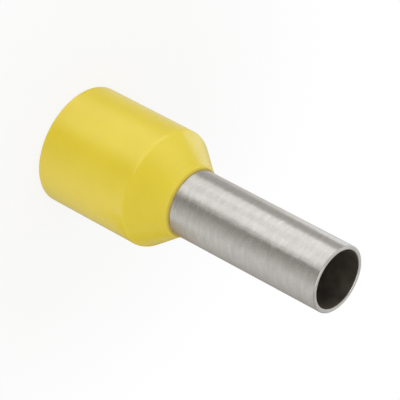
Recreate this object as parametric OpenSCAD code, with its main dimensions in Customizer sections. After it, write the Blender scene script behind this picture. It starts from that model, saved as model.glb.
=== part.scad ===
// Insulated wire ferrule: a thin metal tube with a flared end, held in a moulded collar.
// The axis is Z. The collar's open mouth stands on Z = 0 and the tube's tip points up.
// The bared wire goes through the collar into the tube, and its insulation stops in the collar.

/* [Tube] */
// Bore of the tube, for the bared wire
tube_bore = 3.5; // [2.6:0.1:4.2]
// Wall of the tube
tube_wall = 0.25; // [0.15:0.05:0.4]
// Length of bare tube in front of the collar
tube_reach = 10.45; // [6:0.05:18]
// Rounding of the tube's cut edges
cut_round = 0.06; // [0.02:0.01:0.07]
// How far the tube's radius widens inside the nose, which wedges it there
grip_taper = 0.03; // [0.01:0.01:0.05]

/* [Flare] */
// Gap between the rim of the flare and the wall of the collar's bore
flare_gap = 0.15; // [0.05:0.05:0.4]
// Radius of the bend from tube to flare, on the side that lies on the collar
bend_round = 0.3; // [0.1:0.05:0.6]

/* [Collar] */
// Bore of the collar, for the wire's insulation
collar_bore = 6.3; // [5.4:0.1:8]
// Wall of the collar's barrel and shoulder
collar_wall = 0.4; // [0.3:0.05:0.6]
// Length of the collar's straight barrel
barrel_len = 6.5; // [4:0.1:10]
// Length of the collar's conical shoulder
shoulder_len = 1.85; // [1.4:0.05:3]
// Rounding outside, where the barrel meets the shoulder
shoulder_round = 0.5; // [0.1:0.1:1]
// Rounding inside, where the bore meets the shoulder
seat_round = 0.1; // [0.05:0.05:0.2]

/* [Nose] */
// Wall of the nose where it leaves the shoulder
nose_wall = 0.12; // [0.1:0.01:0.3]
// Wall of the nose at its front edge
nose_edge = 0.08; // [0.08:0.01:0.1]
// Length of the nose
nose_len = 0.2; // [0.15:0.05:0.6]
// Rounding of the nose's two edges
nose_round = 0.03; // [0.01:0.01:0.035]
// Rounding in the corner between shoulder and nose
neck_round = 0.2; // [0.1:0.05:0.3]

/* [Mouth] */
// Rounding of the mouth's outer edge
mouth_round = 0.08; // [0.02:0.01:0.1]
// Width of the lead-in round the inside of the mouth
lead_width = 0.15; // [0.05:0.05:0.15]
// Depth of the lead-in
lead_depth = 0.3; // [0.1:0.05:0.6]
// Rounding of the lead-in's two edges
lead_round = 0.05; // [0.01:0.01:0.06]

/* [Hidden] */
$fn = 96;
// Straight pieces in each rounded corner of an outline
arc_steps = 6;
collar_colour = [0.87, 0.79, 0.30];
metal_colour = [0.75, 0.74, 0.72];

// Radii of the turned surfaces
tube_in = tube_bore / 2;
tube_out = tube_in + tube_wall;
collar_in = collar_bore / 2;
collar_out = collar_in + collar_wall;
nose_out = tube_out + nose_wall;
grip_out = tube_out + grip_taper;
flare_out = collar_in - flare_gap;

// Heights along the axis
shoulder_top = barrel_len + shoulder_len;
collar_top = shoulder_top + nose_len;
tube_top = collar_top + tube_reach;

// Slope of the shoulder from the axis, and the way square to it, into the bore
slope = atan((collar_out - nose_out) / shoulder_len);
inward = [-cos(slope), -sin(slope)];

// Height of the seat, the inner face of the shoulder, at a radius
function seat_height(radius) =
    barrel_len + (collar_out - collar_wall / cos(slope) - radius) / tan(slope);

// Height of the bend, where the tube leaves the nose and flares out
bend_height = seat_height(grip_out);

function unit(v) = v / norm(v);

// The arc that rounds one corner of an outline. Each corner is [radius, height, rounding].
function corner_arc(before, corner, after) =
    corner[2] == 0 ? [[corner[0], corner[1]]] :
    let (
        point = [corner[0], corner[1]],
        back = unit([before[0], before[1]] - point),
        ahead = unit([after[0], after[1]] - point),
        half = acos(back * ahead) / 2,
        centre = point + unit(back + ahead) * corner[2] / sin(half),
        first = point + back * corner[2] / tan(half) - centre,
        last = point + ahead * corner[2] / tan(half) - centre,
        start = atan2(first[1], first[0]),
        sweep = (atan2(last[1], last[0]) - start + 540) % 360 - 180
    )
    [for (i = [0:arc_steps])
        let (angle = start + sweep * i / arc_steps)
        centre + corner[2] * [cos(angle), sin(angle)]];

// A solid turned about Z from the corners of its half section
module turned(corners) {
    count = len(corners);
    rotate_extrude()
        polygon([for (i = [0:count - 1])
            each corner_arc(corners[(i + count - 1) % count], corners[i], corners[(i + 1) % count])]);
}

// Moulded collar: barrel, conical shoulder and a thin nose that grips the tube
module insulating_collar() {
    color(collar_colour)
        turned([
            [collar_out, 0, mouth_round],
            [collar_out, barrel_len, shoulder_round],
            [nose_out, shoulder_top, neck_round],
            [tube_out + nose_edge, collar_top, nose_round],
            [tube_out, collar_top, nose_round],
            [grip_out, bend_height, bend_round],
            [collar_in, seat_height(collar_in), seat_round],
            [collar_in, lead_depth, lead_round],
            [collar_in + lead_width, 0, lead_round]
        ]);
}

// Drawn tube: its flared end lies on the collar's seat and makes the funnel for the wire
module ferrule_tube() {
    rim = [flare_out, seat_height(flare_out)];
    rim_inside = rim + tube_wall * inward;
    bend_inside = [grip_out - tube_wall, bend_height - tube_wall * tan(slope / 2)];
    color(metal_colour)
        turned([
            [tube_out, tube_top, cut_round],
            [tube_out, collar_top, 0],
            [grip_out, bend_height, bend_round],
            [rim[0], rim[1], cut_round],
            [rim_inside[0], rim_inside[1], cut_round],
            [bend_inside[0], bend_inside[1], bend_round + tube_wall],
            [tube_in, collar_top, 0],
            [tube_in, tube_top, cut_round]
        ]);
}

insulating_collar();
ferrule_tube();
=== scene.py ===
"""Looks of an insulated wire ferrule: a thin metal tube in a yellow collar, on a pale studio floor."""

import math

import bpy
from mathutils import Matrix, Vector

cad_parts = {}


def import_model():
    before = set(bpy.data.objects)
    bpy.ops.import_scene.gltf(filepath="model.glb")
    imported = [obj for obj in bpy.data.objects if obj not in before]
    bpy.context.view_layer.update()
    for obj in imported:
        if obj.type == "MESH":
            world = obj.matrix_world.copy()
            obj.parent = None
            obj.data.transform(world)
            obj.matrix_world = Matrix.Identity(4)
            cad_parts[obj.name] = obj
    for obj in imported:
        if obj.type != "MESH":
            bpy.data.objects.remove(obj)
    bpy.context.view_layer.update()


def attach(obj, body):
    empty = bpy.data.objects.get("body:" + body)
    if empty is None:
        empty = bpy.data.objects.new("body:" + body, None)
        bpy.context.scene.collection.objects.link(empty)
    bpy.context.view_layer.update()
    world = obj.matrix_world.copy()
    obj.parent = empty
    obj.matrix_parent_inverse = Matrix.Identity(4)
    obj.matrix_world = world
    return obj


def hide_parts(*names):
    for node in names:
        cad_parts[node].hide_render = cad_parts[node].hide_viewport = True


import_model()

# A millimetre in metres
MM = 0.001

# Sizes of the object in millimetres, as in the solids
TUBE_BORE = 3.5
TUBE_WALL = 0.25
TUBE_REACH = 10.45
CUT_ROUND = 0.06
GRIP_TAPER = 0.03
FLARE_GAP = 0.15
BEND_ROUND = 0.3
COLLAR_BORE = 6.3
COLLAR_WALL = 0.4
BARREL_LEN = 6.5
SHOULDER_LEN = 1.85
SHOULDER_ROUND = 0.5
SEAT_ROUND = 0.1
NOSE_WALL = 0.12
NOSE_EDGE = 0.08
NOSE_LEN = 0.2
NOSE_ROUND = 0.03
NECK_ROUND = 0.2
MOUTH_ROUND = 0.08
LEAD_WIDTH = 0.15
LEAD_DEPTH = 0.3
LEAD_ROUND = 0.05

# Radii and heights that follow from them
TUBE_IN = TUBE_BORE / 2
TUBE_OUT = TUBE_IN + TUBE_WALL
COLLAR_IN = COLLAR_BORE / 2
COLLAR_OUT = COLLAR_IN + COLLAR_WALL
NOSE_OUT = TUBE_OUT + NOSE_WALL
GRIP_OUT = TUBE_OUT + GRIP_TAPER
FLARE_OUT = COLLAR_IN - FLARE_GAP
SHOULDER_TOP = BARREL_LEN + SHOULDER_LEN
COLLAR_TOP = SHOULDER_TOP + NOSE_LEN
TUBE_TOP = COLLAR_TOP + TUBE_REACH
SLOPE = math.atan((COLLAR_OUT - NOSE_OUT) / SHOULDER_LEN)

# Fineness of the turned meshes
ARC_STEPS = 12
SEGMENTS = 192


def seat_height(radius):
    """Height of the seat, the inner face of the collar's shoulder, at a radius."""
    return BARREL_LEN + (COLLAR_OUT - COLLAR_WALL / math.cos(SLOPE) - radius) / math.tan(SLOPE)


BEND_HEIGHT = seat_height(GRIP_OUT)


def corner_arc(before, corner, after):
    """The points that round one corner of an outline, each with its outward normal.

    A corner is its radius from the axis, its height and its rounding.
    """
    point = Vector(corner[:2])
    back = (Vector(before[:2]) - point).normalized()
    ahead = (Vector(after[:2]) - point).normalized()
    # The solid lies to the left of the outline, so a left turn is a convex corner
    convex = back.x * ahead.y - back.y * ahead.x < 0
    middle = (back + ahead).normalized()
    outward = -1 if convex else 1
    if corner[2] == 0:
        return [(point, middle * outward)]
    half = back.angle(ahead) / 2
    centre = point + middle * corner[2] / math.sin(half)
    first = point + back * corner[2] / math.tan(half) - centre
    last = point + ahead * corner[2] / math.tan(half) - centre
    start = math.atan2(first.y, first.x)
    sweep = (math.atan2(last.y, last.x) - start + 3 * math.pi) % (2 * math.pi) - math.pi
    arc = []
    for step in range(ARC_STEPS + 1):
        angle = start + sweep * step / ARC_STEPS
        spoke = Vector((math.cos(angle), math.sin(angle)))
        arc.append((centre + spoke * corner[2], spoke * -outward))
    return arc


def turned(name, corners):
    """A closed mesh with exact normals, turned about Z from the corners of its half section."""
    count = len(corners)
    outline = []
    for index, corner in enumerate(corners):
        outline += corner_arc(corners[index - 1], corner, corners[(index + 1) % count])
    vertices = []
    normals = []
    for point, normal in outline:
        for segment in range(SEGMENTS):
            turn = 2 * math.pi * segment / SEGMENTS
            cosine = math.cos(turn)
            sine = math.sin(turn)
            vertices.append((point.x * cosine * MM, point.x * sine * MM, point.y * MM))
            normals.append((normal.x * cosine, normal.x * sine, normal.y))
    faces = []
    for ring in range(len(outline)):
        here = ring * SEGMENTS
        there = (ring + 1) % len(outline) * SEGMENTS
        for segment in range(SEGMENTS):
            ahead = (segment + 1) % SEGMENTS
            faces.append((here + segment, here + ahead, there + ahead, there + segment))
    mesh = bpy.data.meshes.new(name)
    mesh.from_pydata(vertices, [], faces)
    mesh.polygons.foreach_set("use_smooth", [True] * len(faces))
    mesh.normals_split_custom_set_from_vertices(normals)
    piece = bpy.data.objects.new(name, mesh)
    bpy.context.scene.collection.objects.link(piece)
    return piece


def make_collar():
    """Moulded collar: barrel, conical shoulder and a thin nose that grips the tube."""
    return turned("collar_moulding", [
        (COLLAR_OUT, 0, MOUTH_ROUND),
        (COLLAR_OUT, BARREL_LEN, SHOULDER_ROUND),
        (NOSE_OUT, SHOULDER_TOP, NECK_ROUND),
        (TUBE_OUT + NOSE_EDGE, COLLAR_TOP, NOSE_ROUND),
        (TUBE_OUT, COLLAR_TOP, NOSE_ROUND),
        (GRIP_OUT, BEND_HEIGHT, BEND_ROUND),
        (COLLAR_IN, seat_height(COLLAR_IN), SEAT_ROUND),
        (COLLAR_IN, LEAD_DEPTH, LEAD_ROUND),
        (COLLAR_IN + LEAD_WIDTH, 0, LEAD_ROUND),
    ])


def make_tube():
    """Drawn tube: its flared end lies on the collar's seat and makes the funnel for the wire."""
    rim = Vector((FLARE_OUT, seat_height(FLARE_OUT)))
    rim_inside = rim - TUBE_WALL * Vector((math.cos(SLOPE), math.sin(SLOPE)))
    bend_inside = (GRIP_OUT - TUBE_WALL, BEND_HEIGHT - TUBE_WALL * math.tan(SLOPE / 2))
    # The outline runs down the bore and up the outside, with the metal on its left
    return turned("tube_metal", [
        (TUBE_IN, TUBE_TOP, CUT_ROUND),
        (TUBE_IN, COLLAR_TOP, 0),
        (*bend_inside, BEND_ROUND + TUBE_WALL),
        (*rim_inside, CUT_ROUND),
        (*rim, CUT_ROUND),
        (GRIP_OUT, BEND_HEIGHT, BEND_ROUND),
        (TUBE_OUT, COLLAR_TOP, 0),
        (TUBE_OUT, TUBE_TOP, CUT_ROUND),
    ])


# Noise mostly lies between these two values
NOISE_LOW = 0.3
NOISE_HIGH = 0.7
# Turns the noise after its stretch, so that its grid runs along no edge of the object
NOISE_TURN = (0.6, 0.4, 0.3)
# Where a new stop of a colour ramp stands until it gets its own place
NEW_STOP = 0.5


def new_material(name):
    """A new node material, with its node tree and its Principled shader."""
    material = bpy.data.materials.new(name)
    material.use_nodes = True
    tree = material.node_tree
    return material, tree, tree.nodes["Principled BSDF"]


def connect(tree, value, socket):
    """Links a node's output to a socket, or sets the socket to a constant."""
    if isinstance(value, bpy.types.NodeSocket):
        tree.links.new(value, socket)
    else:
        socket.default_value = value


def combined(tree, operation, first, second):
    """Two values combined by a Math node. Each is a number or another node's output."""
    node = tree.nodes.new("ShaderNodeMath")
    node.operation = operation
    connect(tree, first, node.inputs[0])
    connect(tree, second, node.inputs[1])
    return node.outputs["Value"]


def vector_node(tree, operation, first):
    """A vector node for one operation, with its first vector linked."""
    node = tree.nodes.new("ShaderNodeVectorMath")
    node.operation = operation
    tree.links.new(first, node.inputs[0])
    return node


def mapped(tree, value, source, target, blend="LINEAR"):
    """A value taken from one range of values to another. Each range is its start and its end."""
    node = tree.nodes.new("ShaderNodeMapRange")
    node.interpolation_type = blend
    node.inputs["From Min"].default_value = source[0]
    node.inputs["From Max"].default_value = source[1]
    node.inputs["To Min"].default_value = target[0]
    node.inputs["To Max"].default_value = target[1]
    tree.links.new(value, node.inputs["Value"])
    return node.outputs["Result"]


def mixed(tree, factor, first, second):
    """Two colours mixed by a factor. Each colour is a tuple or another node's output."""
    node = tree.nodes.new("ShaderNodeMix")
    node.data_type = "RGBA"
    tree.links.new(factor, node.inputs["Factor"])
    for name, colour in (("A", first), ("B", second)):
        socket = next(s for s in node.inputs if s.name == name and s.type == "RGBA")
        value = (*colour, 1) if isinstance(colour, tuple) else colour
        connect(tree, value, socket)
    return next(s for s in node.outputs if s.type == "RGBA")


def colour_ramp(tree, share, rows):
    """A colour read from a ramp at a share from 0 to 1. Each row is a place on the ramp and its colour."""
    ramp = tree.nodes.new("ShaderNodeValToRGB")
    stops = ramp.color_ramp.elements
    while len(stops) < len(rows):
        stops.new(NEW_STOP)
    for stop, (place, colour) in zip(stops, rows):
        stop.position = place
        stop.color = (*colour, 1)
    tree.links.new(share, ramp.inputs["Fac"])
    return ramp.outputs["Color"]


def noise(tree, scale, detail, stretch=(1, 1, 1)):
    """A noise texture in object space. scale is in waves for each millimetre, before the stretch."""
    place = tree.nodes.new("ShaderNodeTexCoord")
    mapping = tree.nodes.new("ShaderNodeMapping")
    mapping.inputs["Scale"].default_value = [factor / MM for factor in stretch]
    mapping.inputs["Rotation"].default_value = NOISE_TURN
    texture = tree.nodes.new("ShaderNodeTexNoise")
    texture.inputs["Scale"].default_value = scale
    texture.inputs["Detail"].default_value = detail
    tree.links.new(place.outputs["Object"], mapping.inputs["Vector"])
    tree.links.new(mapping.outputs["Vector"], texture.inputs["Vector"])
    return texture.outputs["Fac"]


def spread(tree, value, low, high):
    """A noise value, spread from low to high."""
    return mapped(tree, value, (NOISE_LOW, NOISE_HIGH), (low, high))


def bump(tree, shader, height, depth):
    """Raises the surface by a height texture. depth is in millimetres."""
    node = tree.nodes.new("ShaderNodeBump")
    node.inputs["Strength"].default_value = 1
    node.inputs["Distance"].default_value = depth * MM
    tree.links.new(height, node.inputs["Height"])
    tree.links.new(node.outputs["Normal"], shader.inputs["Normal"])
    return node


def distance_from_axis(tree):
    """The distance from the Z axis, in metres."""
    place = tree.nodes.new("ShaderNodeTexCoord")
    flat = vector_node(tree, "MULTIPLY", place.outputs["Object"])
    flat.inputs[1].default_value = (1, 1, 0)
    return vector_node(tree, "LENGTH", flat.outputs["Vector"]).outputs["Value"]


# The plastic's two tones, and the noise that mixes them: waves for each millimetre, and detail
PLASTIC_TONES = ((0.78, 0.612, 0.004), (0.82, 0.648, 0.011))
PLASTIC_CLOUDS = (0.5, 3)
# Its roughness, and the noise that varies it
PLASTIC_GLOSS = (0.23, 0.27)
PLASTIC_GLOSS_NOISE = (1.2, 1)
# How strongly it reflects
PLASTIC_IOR = 1.6
PLASTIC_SPECULAR = 0.9
# How much light goes below its surface, and how far each colour of it, in millimetres
PLASTIC_DEPTH_SHARE = 0.1
PLASTIC_DEPTH = (0.4, 0.3, 0.05)
# Its faint grain and how deep it is, in millimetres
PLASTIC_GRAIN = (4, 2)
PLASTIC_GRAIN_DEPTH = 0.001
# The plastic's colour across the nose's front edge, by the distance from the metal in millimetres: painted
# shade, a dark golden line where the nose meets the metal, and a painted lighter tint right at the metal
# that lifts the shade of the groove
NOSE_PAINTED_SHADE_AND_LIGHT = [
    (0, (1.0, 0.88, 0.25)),
    (0.04, (0.80, 0.60, 0.04)),
    (0.07, (0.48, 0.32, 0.010)),
    (0.10, (0.66, 0.49, 0.008)),
    (NOSE_WALL, (0.80, 0.63, 0.006)),
]
# Over this width towards the nose the plastic grows duller, up to this roughness
DULL_WIDTH = 0.15
DULL_ROUGHNESS = 0.6


def painted_nose_shade_and_light(tree, radius):
    """The painted shade and light on the nose's front edge, from the table above, at a distance from the
    axis.
    """
    share = mapped(tree, radius, (TUBE_OUT * MM, NOSE_OUT * MM), (0, 1))
    rows = [(distance / NOSE_WALL, colour) for distance, colour in NOSE_PAINTED_SHADE_AND_LIGHT]
    return colour_ramp(tree, share, rows)


def plastic_material():
    """Yellow moulded plastic: satin, a little cloudy, with painted shade and a painted lighter tint where
    the thin nose meets the metal.
    """
    material, tree, shader = new_material("yellow_plastic")
    cloud = spread(tree, noise(tree, *PLASTIC_CLOUDS), 0, 1)
    colour = mixed(tree, cloud, *PLASTIC_TONES)
    radius = distance_from_axis(tree)
    # Where the nose meets the metal, painted shade and a painted lighter tint take the place of the
    # plastic's colour
    near = combined(tree, "LESS_THAN", radius, NOSE_OUT * MM)
    colour = mixed(tree, near, colour, painted_nose_shade_and_light(tree, radius))
    tree.links.new(colour, shader.inputs["Base Color"])
    dull = mapped(tree, radius, ((NOSE_OUT + DULL_WIDTH) * MM, NOSE_OUT * MM), (0, DULL_ROUGHNESS))
    satin = spread(tree, noise(tree, *PLASTIC_GLOSS_NOISE), *PLASTIC_GLOSS)
    tree.links.new(combined(tree, "MAXIMUM", dull, satin), shader.inputs["Roughness"])
    shader.inputs["IOR"].default_value = PLASTIC_IOR
    shader.inputs["Specular IOR Level"].default_value = PLASTIC_SPECULAR
    shader.inputs["Subsurface Weight"].default_value = PLASTIC_DEPTH_SHARE
    shader.inputs["Subsurface Radius"].default_value = [depth * MM for depth in PLASTIC_DEPTH]
    shader.inputs["Subsurface Scale"].default_value = 1
    bump(tree, shader, noise(tree, *PLASTIC_GRAIN), PLASTIC_GRAIN_DEPTH)
    return material


# Dark and light tones of the tin plate, and of the bare cut at the tip
TIN_TONES = ((0.583, 0.568, 0.543), (0.642, 0.627, 0.602))
CUT_TONES = ((0.70, 0.69, 0.67), (0.76, 0.75, 0.73))
# The marks that run round the tube: waves for each millimetre, detail and stretch, and their depth
METAL_MARKS = (1, 1, (1.8, 1.8, 3.4))
METAL_MARK_DEPTH = 0.0015
# The metal's roughness, and the noise that varies it
METAL_GLOSS = (0.24, 0.30)
METAL_GLOSS_NOISE = (1, 1, (0.6, 0.6, 4))
# How far the marks draw the reflections out, and the turn, in full turns, that draws them along the tube
METAL_ANISOTROPY = 0.8
METAL_ANISOTROPY_TURN = 0.25
# How far the marks lean, in radians, and the noise that varies it
MARK_LEAN = 0.013
MARK_LEAN_NOISE = (1, 1, (1.5, 1.5, 3))


def metal_material(name, tones):
    """Bright metal between a dark and a light tone, with fine marks that run round the tube."""
    material, tree, shader = new_material(name)
    marks = noise(tree, *METAL_MARKS)
    tree.links.new(mixed(tree, spread(tree, marks, 0, 1), *tones), shader.inputs["Base Color"])
    shader.inputs["Metallic"].default_value = 1
    gloss = spread(tree, noise(tree, *METAL_GLOSS_NOISE), *METAL_GLOSS)
    tree.links.new(gloss, shader.inputs["Roughness"])
    shader.inputs["Anisotropic"].default_value = METAL_ANISOTROPY
    shader.inputs["Anisotropic Rotation"].default_value = METAL_ANISOTROPY_TURN
    around = tree.nodes.new("ShaderNodeTangent")
    around.direction_type = "RADIAL"
    around.axis = "Z"
    tree.links.new(around.outputs["Tangent"], shader.inputs["Tangent"])
    # Each mark leans a little to one side round the tube, which frays the edges of the reflections
    lean = vector_node(tree, "SCALE", around.outputs["Tangent"])
    amount = spread(tree, noise(tree, *MARK_LEAN_NOISE), -MARK_LEAN, MARK_LEAN)
    tree.links.new(amount, lean.inputs["Scale"])
    surface = tree.nodes.new("ShaderNodeNewGeometry")
    leaning = vector_node(tree, "ADD", surface.outputs["Normal"])
    tree.links.new(lean.outputs["Vector"], leaning.inputs[1])
    relief = bump(tree, shader, marks, METAL_MARK_DEPTH)
    tree.links.new(leaning.outputs["Vector"], relief.inputs["Normal"])
    return material


# The bore's dark and light tones, the noise that mixes them, and its roughness
BORE_TONES = ((0.18, 0.165, 0.15), (0.40, 0.35, 0.295))
BORE_CLOUDS = (0.7, 2)
BORE_ROUGHNESS = 0.6
# Its grain and how deep it is, in millimetres
BORE_GRAIN = (3, 2)
BORE_GRAIN_DEPTH = 0.003


def bore_material():
    """The tube's inside: a dull metal in darker, mottled tones than the tin plate."""
    material, tree, shader = new_material("dull_bore")
    cloud = spread(tree, noise(tree, *BORE_CLOUDS), 0, 1)
    tree.links.new(mixed(tree, cloud, *BORE_TONES), shader.inputs["Base Color"])
    shader.inputs["Metallic"].default_value = 1
    shader.inputs["Roughness"].default_value = BORE_ROUGHNESS
    bump(tree, shader, noise(tree, *BORE_GRAIN), BORE_GRAIN_DEPTH)
    return material


# Slots of the tube's materials
TIN_SLOT = 0
CUT_SLOT = 1
BORE_SLOT = 2
# How much of each rounded edge at the tip counts as bore or as flat cut, in millimetres
EDGE_SHARE = CUT_ROUND / 4


def dress_tube(tube):
    """Tin plate outside, a brighter cut at the tip and a dull finish down the bore."""
    tube.data.materials.append(metal_material("tin_plate", TIN_TONES))
    tube.data.materials.append(metal_material("cut_edge", CUT_TONES))
    tube.data.materials.append(bore_material())
    for face in tube.data.polygons:
        middle = sum((tube.data.vertices[i].co for i in face.vertices), Vector()) / len(face.vertices)
        radius = math.hypot(middle.x, middle.y) / MM
        height = middle.z / MM
        if radius < TUBE_IN + EDGE_SHARE and height > BEND_HEIGHT:
            face.material_index = BORE_SLOT
        elif height > TUBE_TOP - EDGE_SHARE:
            face.material_index = CUT_SLOT
        else:
            face.material_index = TIN_SLOT


# The photograph's side and focal length, in pixels, and the camera's sensor, in millimetres
PHOTO_SIDE = 400
FOCAL_PIXELS = 3047.5
SENSOR_MM = 36.0
# How far the view looks down, and how far the object's axis drops to the right in the picture
VIEW_DOWN = math.radians(33.01)
AXIS_LEAN = math.radians(27.85)
# Where the camera aims on the standing object and how far off it is, in millimetres
AIM_HEIGHT = 9.5
AIM_RIGHT = 0.341
AIM_DOWN = 0.549
VIEW_DISTANCE = 168.43
# The nearest and the furthest that the camera sees, in metres
CLIP_START = 0.01
CLIP_END = 5


def make_camera():
    """The photograph's view: down on the standing object, rolled until its axis points lower right."""
    forward = Vector((0, math.cos(VIEW_DOWN), -math.sin(VIEW_DOWN)))
    rise = Vector((0, math.sin(VIEW_DOWN), math.cos(VIEW_DOWN)))
    across = Vector((1, 0, 0))
    right = rise * math.cos(AXIS_LEAN) - across * math.sin(AXIS_LEAN)
    down = rise * math.sin(AXIS_LEAN) + across * math.cos(AXIS_LEAN)
    aim = Vector((0, 0, AIM_HEIGHT))
    place = aim - right * AIM_RIGHT - down * AIM_DOWN - forward * VIEW_DISTANCE
    data = bpy.data.cameras.new("camera")
    data.sensor_width = SENSOR_MM
    data.lens = FOCAL_PIXELS / PHOTO_SIDE * SENSOR_MM
    data.clip_start = CLIP_START
    data.clip_end = CLIP_END
    camera = bpy.data.objects.new("camera", data)
    turn = Matrix((right, -down, -forward)).transposed().to_4x4()
    camera.matrix_world = Matrix.Translation(place * MM) @ turn
    bpy.context.scene.collection.objects.link(camera)
    bpy.context.scene.camera = camera


# The tent's brightness by the compass, in degrees from the camera's side towards +X:
# first well below the floor, then above it
TENT_LEVELS = [
    # Behind the object, on the left
    (-180, 0.45, 0.66),
    (-150, 0.74, 0.90),
    (-134, 0.64, 0.80),
    # Gap before the key panel
    (-118, 0.50, 0.60),
    (-97, 0.50, 0.65),
    # Key panel
    (-79, 0.94, 0.90),
    (-64, 1.05, 0.90),
    (-46, 0.98, 0.75),
    (-26, 1.08, 0.50),
    (-14, 0.75, 0.33),
    # Gap in which the camera stands
    (-6, 0.46, 0.32),
    (2, 0.34, 0.30),
    (12, 0.37, 0.32),
    # Fill panel
    (40, 0.64, 0.42),
    (62, 0.86, 0.47),
    (85, 0.84, 0.45),
    (115, 0.68, 0.52),
    (150, 0.46, 0.42),
    # Behind the object, on the right
    (168, 0.36, 0.42),
    (180, 0.45, 0.66),
]
# Size of the tent's wall, in millimetres
TENT_RADIUS = 100
TENT_HALF_HEIGHT = 180
# Heights between which the lower levels pass into the upper ones, in millimetres
TENT_BLEND = (-30, 0)
# How much less red, green and blue the tent has where it is darkest
TENT_WARMTH = (0, 0.06, 0.13)
# The ceiling is a shallow cone that leaves a small hole at its top
CEILING_HOLE = 1
CEILING_RISE = 20
CEILING_LEVEL = 0.5
# Cards inside the tent: start and end by the compass, lower and upper edge as radius and height
# in millimetres, and colour
CARDS = [
    ("rear_card", -148, -114, (30, 4), (30, 13), (1.05, 1.15, 1.45)),
    ("low_rear_card", -148, -120, (30, -2), (30, 4), (1.15, 1.1, 1.0)),
    ("left_card", -84, -52, (30, 1), (30, 9), (1.2, 1.2, 1.2)),
    ("low_left_card", -84, -56, (30, -4), (30, 1), (1.7, 1.7, 1.66)),
    ("front_card", -52, 1, (30, 1), (30, 9), (1.5, 1.5, 1.5)),
    ("low_front_card", -36, -12, (30, -4), (30, 1), (1.4, 1.4, 1.37)),
    ("high_card", -30, 80, (80, 110), (20, 170), (2.2, 2.2, 2.0)),
    ("warm_card", 80, 192, (15, -2.6), (9, 4.4), (0.42, 0.27, 0.03)),
    ("right_card", 112, 156, (60, 0), (60, 16), (0.38, 0.30, 0.20)),
]
# Flat sides of the tent's wall, of its ceiling and of each card
WALL_SIDES = 96
# Half a turn of the compass, in degrees
HALF_TURN = 180
WHITE = (1, 1, 1)


def ring_wall(name, start, end, low, high):
    """A wall round the object between two compass angles and two edges, that only reflections see."""
    vertices = []
    faces = []
    for side in range(WALL_SIDES + 1):
        turn = math.radians(start + (end - start) * side / WALL_SIDES)
        for radius, height in (low, high):
            vertices.append((radius * MM * math.sin(turn), -radius * MM * math.cos(turn), height * MM))
    for side in range(WALL_SIDES):
        corner = 2 * side
        faces.append((corner, corner + 2, corner + 3, corner + 1))
    mesh = bpy.data.meshes.new(name)
    mesh.from_pydata(vertices, [], faces)
    wall = bpy.data.objects.new(name, mesh)
    bpy.context.scene.collection.objects.link(wall)
    wall.visible_camera = False
    wall.visible_diffuse = False
    wall.visible_transmission = False
    wall.visible_volume_scatter = False
    wall.visible_shadow = False
    return wall


def glow_material(name, colour, strength):
    """A material that only glows, and that no light is sampled from."""
    material = bpy.data.materials.new(name)
    material.use_nodes = True
    tree = material.node_tree
    tree.nodes.clear()
    glow = tree.nodes.new("ShaderNodeEmission")
    glow.inputs["Color"].default_value = (*colour, 1)
    glow.inputs["Strength"].default_value = strength
    output = tree.nodes.new("ShaderNodeOutputMaterial")
    tree.links.new(glow.outputs["Emission"], output.inputs["Surface"])
    material.cycles.emission_sampling = "NONE"
    return material, tree, glow


def tent_colours(angles, levels, brightest):
    """The tent's levels at their compass angles, as rows for a ramp over the whole compass."""
    rows = []
    for angle, level in zip(angles, levels):
        share = level / brightest
        colour = [share * (1 - loss * (1 - share)) for loss in TENT_WARMTH]
        rows.append(((angle + HALF_TURN) / (2 * HALF_TURN), colour))
    return rows


def light_tent():
    """A round tent of soft panels, seen only in reflections, that gives the metal its bands."""
    edges = ((TENT_RADIUS, -TENT_HALF_HEIGHT), (TENT_RADIUS, TENT_HALF_HEIGHT))
    tent = ring_wall("light_tent", -HALF_TURN, HALF_TURN, *edges)
    angles, lower, upper = zip(*TENT_LEVELS)
    brightest = max(lower + upper)
    material, tree, glow = glow_material("tent_panels", WHITE, brightest)
    place = tree.nodes.new("ShaderNodeTexCoord")
    turn = tree.nodes.new("ShaderNodeMapping")
    # The gradient starts opposite the camera's side, and then runs through -X
    turn.inputs["Rotation"].default_value = (0, 0, math.pi / 2)
    compass = tree.nodes.new("ShaderNodeTexGradient")
    compass.gradient_type = "RADIAL"
    parts = tree.nodes.new("ShaderNodeSeparateXYZ")
    tree.links.new(place.outputs["Object"], turn.inputs["Vector"])
    tree.links.new(place.outputs["Object"], parts.inputs["Vector"])
    tree.links.new(turn.outputs["Vector"], compass.inputs["Vector"])
    rise = mapped(tree, parts.outputs["Z"], [edge * MM for edge in TENT_BLEND], (0, 1), "SMOOTHSTEP")
    low = colour_ramp(tree, compass.outputs["Fac"], tent_colours(angles, lower, brightest))
    high = colour_ramp(tree, compass.outputs["Fac"], tent_colours(angles, upper, brightest))
    tree.links.new(mixed(tree, rise, low, high), glow.inputs["Color"])
    tent.data.materials.append(material)


def ceiling():
    """Closes the tent's top with a shallow cone."""
    edges = ((TENT_RADIUS, TENT_HALF_HEIGHT), (CEILING_HOLE, TENT_HALF_HEIGHT + CEILING_RISE))
    cone = ring_wall("ceiling", -HALF_TURN, HALF_TURN, *edges)
    cone.data.materials.append(glow_material("ceiling_glow", WHITE, CEILING_LEVEL)[0])


def cards():
    """The cards inside the tent, whose reflections change along the object."""
    for name, start, end, low, high, colour in CARDS:
        card = ring_wall(name, start, end, low, high)
        card.data.materials.append(glow_material(name + "_glow", colour, 1)[0])


# How far the floor reaches to each side, in millimetres
FLOOR_REACH = 600
FLOOR_COLOUR = (0.9, 0.9, 0.9)
# Distances from the object's axis, in millimetres, between which the floor fades to white
FADE_START = 8
FADE_END = 24
# How much of that white the camera sees near the object
WHITE_NEAR = 0.8


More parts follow.
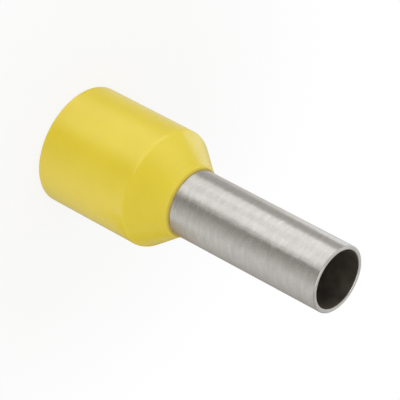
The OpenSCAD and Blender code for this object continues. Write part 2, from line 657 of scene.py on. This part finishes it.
def floor():
    """A pale floor that keeps the object's faint shadow and fades to white away from it."""
    mesh = bpy.data.meshes.new("floor")
    reach = FLOOR_REACH * MM
    corners = [(-reach, -reach, 0), (reach, -reach, 0), (reach, reach, 0), (-reach, reach, 0)]
    mesh.from_pydata(corners, [], [range(len(corners))])
    plane = bpy.data.objects.new("floor", mesh)
    bpy.context.scene.collection.objects.link(plane)
    plane.visible_glossy = False
    material, tree, shader = new_material("pale_floor")
    shader.inputs["Base Color"].default_value = (*FLOOR_COLOUR, 1)
    shader.inputs["Roughness"].default_value = 1
    shader.inputs["Specular IOR Level"].default_value = 0
    place = tree.nodes.new("ShaderNodeNewGeometry")
    distance = vector_node(tree, "LENGTH", place.outputs["Position"]).outputs["Value"]
    fade = mapped(tree, distance, (FADE_START * MM, FADE_END * MM), (WHITE_NEAR, 1), "SMOOTHSTEP")
    ray = tree.nodes.new("ShaderNodeLightPath")
    share = combined(tree, "MULTIPLY", ray.outputs["Is Camera Ray"], fade)
    white = tree.nodes.new("ShaderNodeEmission")
    white.inputs["Strength"].default_value = 1
    mix = tree.nodes.new("ShaderNodeMixShader")
    output = tree.nodes["Material Output"]
    tree.links.new(share, mix.inputs["Fac"])
    tree.links.new(shader.outputs["BSDF"], mix.inputs[1])
    tree.links.new(white.outputs["Emission"], mix.inputs[2])
    tree.links.new(mix.outputs["Shader"], output.inputs["Surface"])
    mesh.materials.append(material)


# How brightly the world lights the surfaces
AMBIENT = 0.816


def world():
    """White to the camera and in reflections, and a plain soft light to everything else."""
    sky = bpy.data.worlds.new("studio")
    sky.use_nodes = True
    tree = sky.node_tree
    tree.nodes.clear()
    ray = tree.nodes.new("ShaderNodeLightPath")
    seen = combined(tree, "MAXIMUM", ray.outputs["Is Camera Ray"], ray.outputs["Is Glossy Ray"])
    seen = combined(tree, "MAXIMUM", seen, ray.outputs["Is Transmission Ray"])
    glow = tree.nodes.new("ShaderNodeBackground")
    glow.inputs["Color"].default_value = (*WHITE, 1)
    output = tree.nodes.new("ShaderNodeOutputWorld")
    tree.links.new(mapped(tree, seen, (0, 1), (AMBIENT, 1)), glow.inputs["Strength"])
    tree.links.new(glow.outputs["Background"], output.inputs["Surface"])
    bpy.context.scene.world = sky


# How far off each lamp is, and its side, in millimetres
LAMP_DISTANCE = 160
LAMP_SIZE = 80
# Each lamp's compass angle and elevation in degrees, its level and its colour
LAMPS = [
    ("key", -75, 3, 0.25, (0.95, 1, 1)),
    ("fill", 15, 15, 0.13, (1, 0.96, 0.9)),
]


def lamp(name, compass, elevation, level, colour):
    """A soft square lamp aimed at the object. Its level is what it adds to a white face turned to it."""
    side = math.radians(compass)
    up = math.radians(elevation)
    way = Vector((math.sin(side) * math.cos(up), -math.cos(side) * math.cos(up), math.sin(up)))
    data = bpy.data.lights.new(name, "AREA")
    data.size = LAMP_SIZE * MM
    data.color = colour
    data.energy = level * (math.pi * LAMP_DISTANCE * MM) ** 2
    light = bpy.data.objects.new(name, data)
    light.location = way * LAMP_DISTANCE * MM + Vector((0, 0, AIM_HEIGHT * MM))
    light.rotation_mode = "QUATERNION"
    light.rotation_quaternion = way.to_track_quat("Z", "Y")
    light.visible_glossy = False
    bpy.context.scene.collection.objects.link(light)


def lights():
    """A key lamp on the object's left, and a weaker, slightly warmer fill near the camera's side."""
    for row in LAMPS:
        lamp(*row)


def main():
    """Builds the whole scene."""
    make_camera()
    collar = make_collar()
    collar.data.materials.append(plastic_material())
    tube = make_tube()
    dress_tube(tube)
    for piece, node, slot in ((collar, "insulating_collar", "collar"), (tube, "ferrule_tube", "tube")):
        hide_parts(node)
        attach(piece, "root")
    floor()
    light_tent()
    ceiling()
    cards()
    world()
    lights()
    bpy.context.scene.view_settings.view_transform = "Standard"


main()
